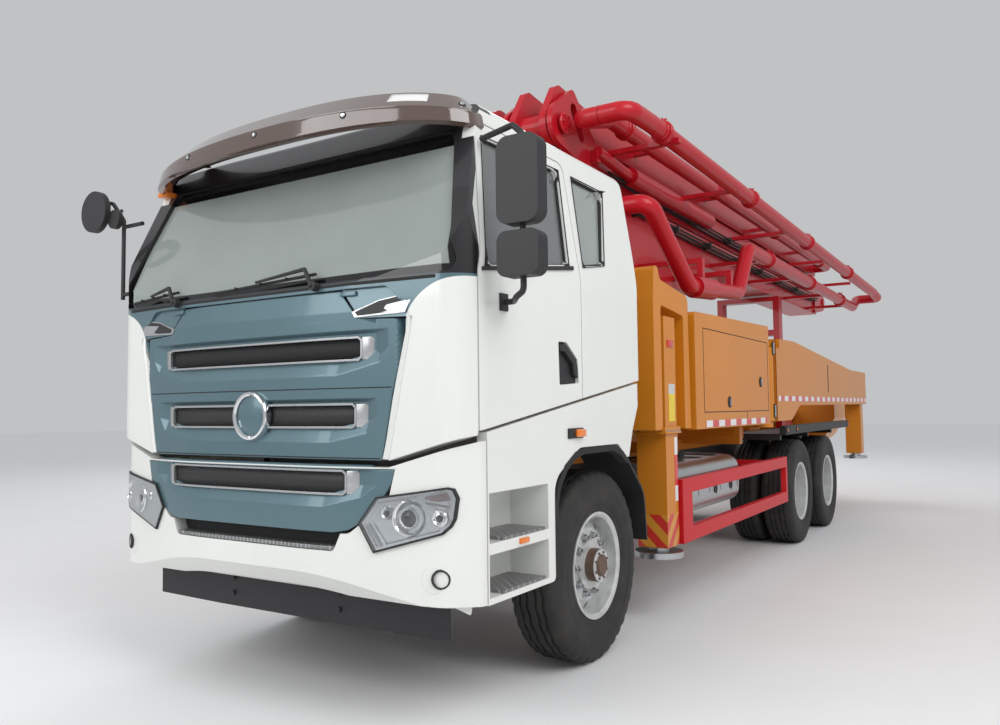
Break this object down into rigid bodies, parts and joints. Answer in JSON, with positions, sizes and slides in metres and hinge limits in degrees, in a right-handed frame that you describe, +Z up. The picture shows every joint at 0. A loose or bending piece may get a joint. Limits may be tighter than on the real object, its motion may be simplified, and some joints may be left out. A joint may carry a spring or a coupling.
{
  "type": "truck-mounted concrete pump",
  "caption": "Three-axle truck with a tilting cab, folding outriggers, a rear hopper and a five-section folding concrete boom.",
  "frame": {"origin": "on the ground under the middle of the stowed machine's length and width", "axes": "+X forward, +Y to the truck's left, +Z up"},
  "size_m": [12.4, 3.104, 3.975],
  "materials": {
    "frame_black": "satin",
    "cast": "rough",
    "cab_white": "gloss",
    "panel_blue": "satin metallic",
    "glass": "clear",
    "smoked": "smoked",
    "trim": "matte",
    "boom_red": "gloss",
    "body_orange": "gloss",
    "tyre": "matte",
    "rim": "satin",
    "steel": "satin",
    "chrome": "polished",
    "guard_red": "gloss",
    "grey": "satin",
    "lamp": "clear",
    "cabin": "matte"
  },
  "bodies": {
    "chassis": {"chassis_frame": "frame_black", "subframe": "body_orange", "boom_rest": "boom_red", "axles": "cast", "engine": "grey", "bumper": "cab_white", "lower_grille": "panel_blue", "headlamps": "lamp", "underrun_board": "frame_black", "fenders": "cab_white", "mudguards": "trim", "side_cabinets": "body_orange", "tanks": "steel", "side_guards": "guard_red", "pump_unit": "body_orange", "hopper": "body_orange"},
    "cab": {"cab_shell": "cab_white", "cab_glass": "glass", "roof_visor": "smoked", "cab_interior": "cabin", "corner_mirrors": "trim"},
    "front_flap": {"front_flap": "panel_blue"},
    "steering_wheel": {"steering_wheel": "trim"},
    "grate": {"hopper_grate": "body_orange"},
    "turret": {"turret": "boom_red"},
    "luff_barrel": {"luff_barrel": "boom_red"},
    "luff_rod": {"luff_rod": "chrome"},
    "section_1": {"boom_1": "boom_red"},
    "section_2": {"boom_2": "boom_red"},
    "section_3": {"boom_3": "boom_red"},
    "section_4": {"boom_4": "boom_red"},
    "section_5": {"boom_5": "boom_red"},
    "door_left": {"door_left": "cab_white", "door_glass_left": "glass", "mirrors_left": "trim"},
    "knuckle_left": {"knuckle_left": "cast"},
    "front_wheel_left": {"front_tyre_left": "tyre", "front_wheel_left": "rim"},
    "mid_wheels_left": {"mid_tyres_left": "tyre", "mid_wheels_left": "rim"},
    "rear_wheels_left": {"rear_tyres_left": "tyre", "rear_wheels_left": "rim"},
    "front_outrigger_left": {"front_outrigger_left": "body_orange"},
    "front_jack_left": {"front_jack_left": "steel"},
    "rear_outrigger_left": {"rear_outrigger_left": "body_orange"},
    "rear_jack_left": {"rear_jack_left": "steel"},
    "door_right": {"door_right": "cab_white", "door_glass_right": "glass", "mirrors_right": "trim"},
    "knuckle_right": {"knuckle_right": "cast"},
    "front_wheel_right": {"front_tyre_right": "tyre", "front_wheel_right": "rim"},
    "mid_wheels_right": {"mid_tyres_right": "tyre", "mid_wheels_right": "rim"},
    "rear_wheels_right": {"rear_tyres_right": "tyre", "rear_wheels_right": "rim"},
    "front_outrigger_right": {"front_outrigger_right": "body_orange"},
    "front_jack_right": {"front_jack_right": "steel"},
    "rear_outrigger_right": {"rear_outrigger_right": "body_orange"},
    "rear_jack_right": {"rear_jack_right": "steel"}
  },
  "joints": [
    {"name": "cab_tilt", "type": "hinge", "parent": "chassis", "child": "cab", "pos_m": [6.05, 0, 0.7], "axis": [0, 1, 0], "range_deg": [0, 50]},
    {"name": "front_flap_lift", "type": "hinge", "parent": "cab", "child": "front_flap", "pos_m": [6.168, 0, 1.996], "axis": [0, -1, 0], "range_deg": [0, 80]},
    {"name": "door_left_swing", "type": "hinge", "parent": "cab", "child": "door_left", "pos_m": [5.992, 1.254, 2], "axis": [0, 0, -1], "range_deg": [0, 65]},
    {"name": "door_right_swing", "type": "hinge", "parent": "cab", "child": "door_right", "pos_m": [5.992, -1.254, 2], "axis": [0, 0, 1], "range_deg": [0, 65]},
    {"name": "steer_left", "type": "hinge", "parent": "chassis", "child": "knuckle_left", "pos_m": [4.65, 0.83, 0.542], "axis": [0, 0, 1], "range_deg": [-40, 40]},
    {"name": "steer_right", "type": "hinge", "parent": "chassis", "child": "knuckle_right", "pos_m": [4.65, -0.83, 0.542], "axis": [0, 0, 1], "range_deg": [-40, 40]},
    {"name": "steering_wheel_turn", "type": "hinge", "parent": "cab", "child": "steering_wheel", "pos_m": [5.52, 0.56, 2.18], "axis": [-0.725, 0, 0.6887], "range_deg": [-640, 640]},
    {"name": "front_wheel_left_spin", "type": "hinge", "parent": "knuckle_left", "child": "front_wheel_left", "pos_m": [4.65, 1.015, 0.542], "axis": [0, 1, 0], "continuous": true},
    {"name": "mid_wheels_left_spin", "type": "hinge", "parent": "chassis", "child": "mid_wheels_left", "pos_m": [-0.16, 0.91, 0.542], "axis": [0, 1, 0], "continuous": true},
    {"name": "rear_wheels_left_spin", "type": "hinge", "parent": "chassis", "child": "rear_wheels_left", "pos_m": [-1.56, 0.91, 0.542], "axis": [0, 1, 0], "continuous": true},
    {"name": "front_outrigger_left_slide", "type": "slide", "parent": "chassis", "child": "front_outrigger_left", "axis": [0, 1, 0], "range_m": [0, 1.6]},
    {"name": "front_jack_left_stroke", "type": "slide", "parent": "front_outrigger_left", "child": "front_jack_left", "axis": [0, 0, -1], "range_m": [0, 0.62]},
    {"name": "rear_outrigger_left_swing", "type": "hinge", "parent": "chassis", "child": "rear_outrigger_left", "pos_m": [0.95, 1.11, 1.65], "axis": [0, 0, -1], "range_deg": [0, 95]},
    {"name": "rear_jack_left_stroke", "type": "slide", "parent": "rear_outrigger_left", "child": "rear_jack_left", "axis": [0, 0, -1], "range_m": [0, 0.85]},
    {"name": "front_wheel_right_spin", "type": "hinge", "parent": "knuckle_right", "child": "front_wheel_right", "pos_m": [4.65, -1.015, 0.542], "axis": [0, 1, 0], "continuous": true},
    {"name": "mid_wheels_right_spin", "type": "hinge", "parent": "chassis", "child": "mid_wheels_right", "pos_m": [-0.16, -0.91, 0.542], "axis": [0, 1, 0], "continuous": true},
    {"name": "rear_wheels_right_spin", "type": "hinge", "parent": "chassis", "child": "rear_wheels_right", "pos_m": [-1.56, -0.91, 0.542], "axis": [0, 1, 0], "continuous": true},
    {"name": "front_outrigger_right_slide", "type": "slide", "parent": "chassis", "child": "front_outrigger_right", "axis": [0, -1, 0], "range_m": [0, 1.6]},
    {"name": "front_jack_right_stroke", "type": "slide", "parent": "front_outrigger_right", "child": "front_jack_right", "axis": [0, 0, -1], "range_m": [0, 0.62]},
    {"name": "rear_outrigger_right_swing", "type": "hinge", "parent": "chassis", "child": "rear_outrigger_right", "pos_m": [0.95, -1.11, 1.65], "axis": [0, 0, 1], "range_deg": [0, 95]},
    {"name": "rear_jack_right_stroke", "type": "slide", "parent": "rear_outrigger_right", "child": "rear_jack_right", "axis": [0, 0, -1], "range_m": [0, 0.85]},
    {"name": "hopper_grate_lift", "type": "hinge", "parent": "chassis", "child": "grate", "pos_m": [-4.365, 0, 1.672], "axis": [0, 1, 0], "range_deg": [0, 85]},
    {"name": "slew", "type": "hinge", "parent": "chassis", "child": "turret", "pos_m": [2.15, 0, 1.7], "axis": [0, 0, 1], "range_deg": [-180, 180]},
    {"name": "luff", "type": "hinge", "parent": "turret", "child": "section_1", "pos_m": [3.15, 0.1, 3], "axis": [0, 1, 0], "range_deg": [0, 89]},
    {"name": "luff_barrel_swing", "type": "hinge", "parent": "turret", "child": "luff_barrel", "pos_m": [2.88, 0.1, 1.831], "axis": [0, 1, 0], "range_deg": [0, 30]},
    {"name": "luff_rod_stroke", "type": "slide", "parent": "luff_barrel", "child": "luff_rod", "axis": [-0.4554, 0, 0.8903], "range_m": [0, 0.829]},
    {"name": "section_2_fold", "type": "hinge", "parent": "section_1", "child": "section_2", "pos_m": [-6.05, 0.1, 3.23], "axis": [0, -1, 0], "range_deg": [0, 180]},
    {"name": "section_3_fold", "type": "hinge", "parent": "section_2", "child": "section_3", "pos_m": [3.45, 0.1, 3.635], "axis": [0, 1, 0], "range_deg": [0, 180]},
    {"name": "section_4_fold", "type": "hinge", "parent": "section_3", "child": "section_4", "pos_m": [-5.85, -0.47, 3.8], "axis": [0, -1, 0], "range_deg": [0, 180]},
    {"name": "section_5_fold", "type": "hinge", "parent": "section_4", "child": "section_5", "pos_m": [3.33, -0.47, 3.73], "axis": [0, 1, 0], "range_deg": [0, 180]}
  ],
  "couplings": [
    {"joint": "steer_right", "follows": "steer_left", "ratio": 1},
    {"joint": "steering_wheel_turn", "follows": "steer_left", "ratio": 16},
    {"joint": "luff_barrel_swing", "follows": "luff", "ratio": 0.33419},
    {"joint": "luff_rod_stroke", "follows": "luff", "m_per_rad": 0.53079}
  ]
}
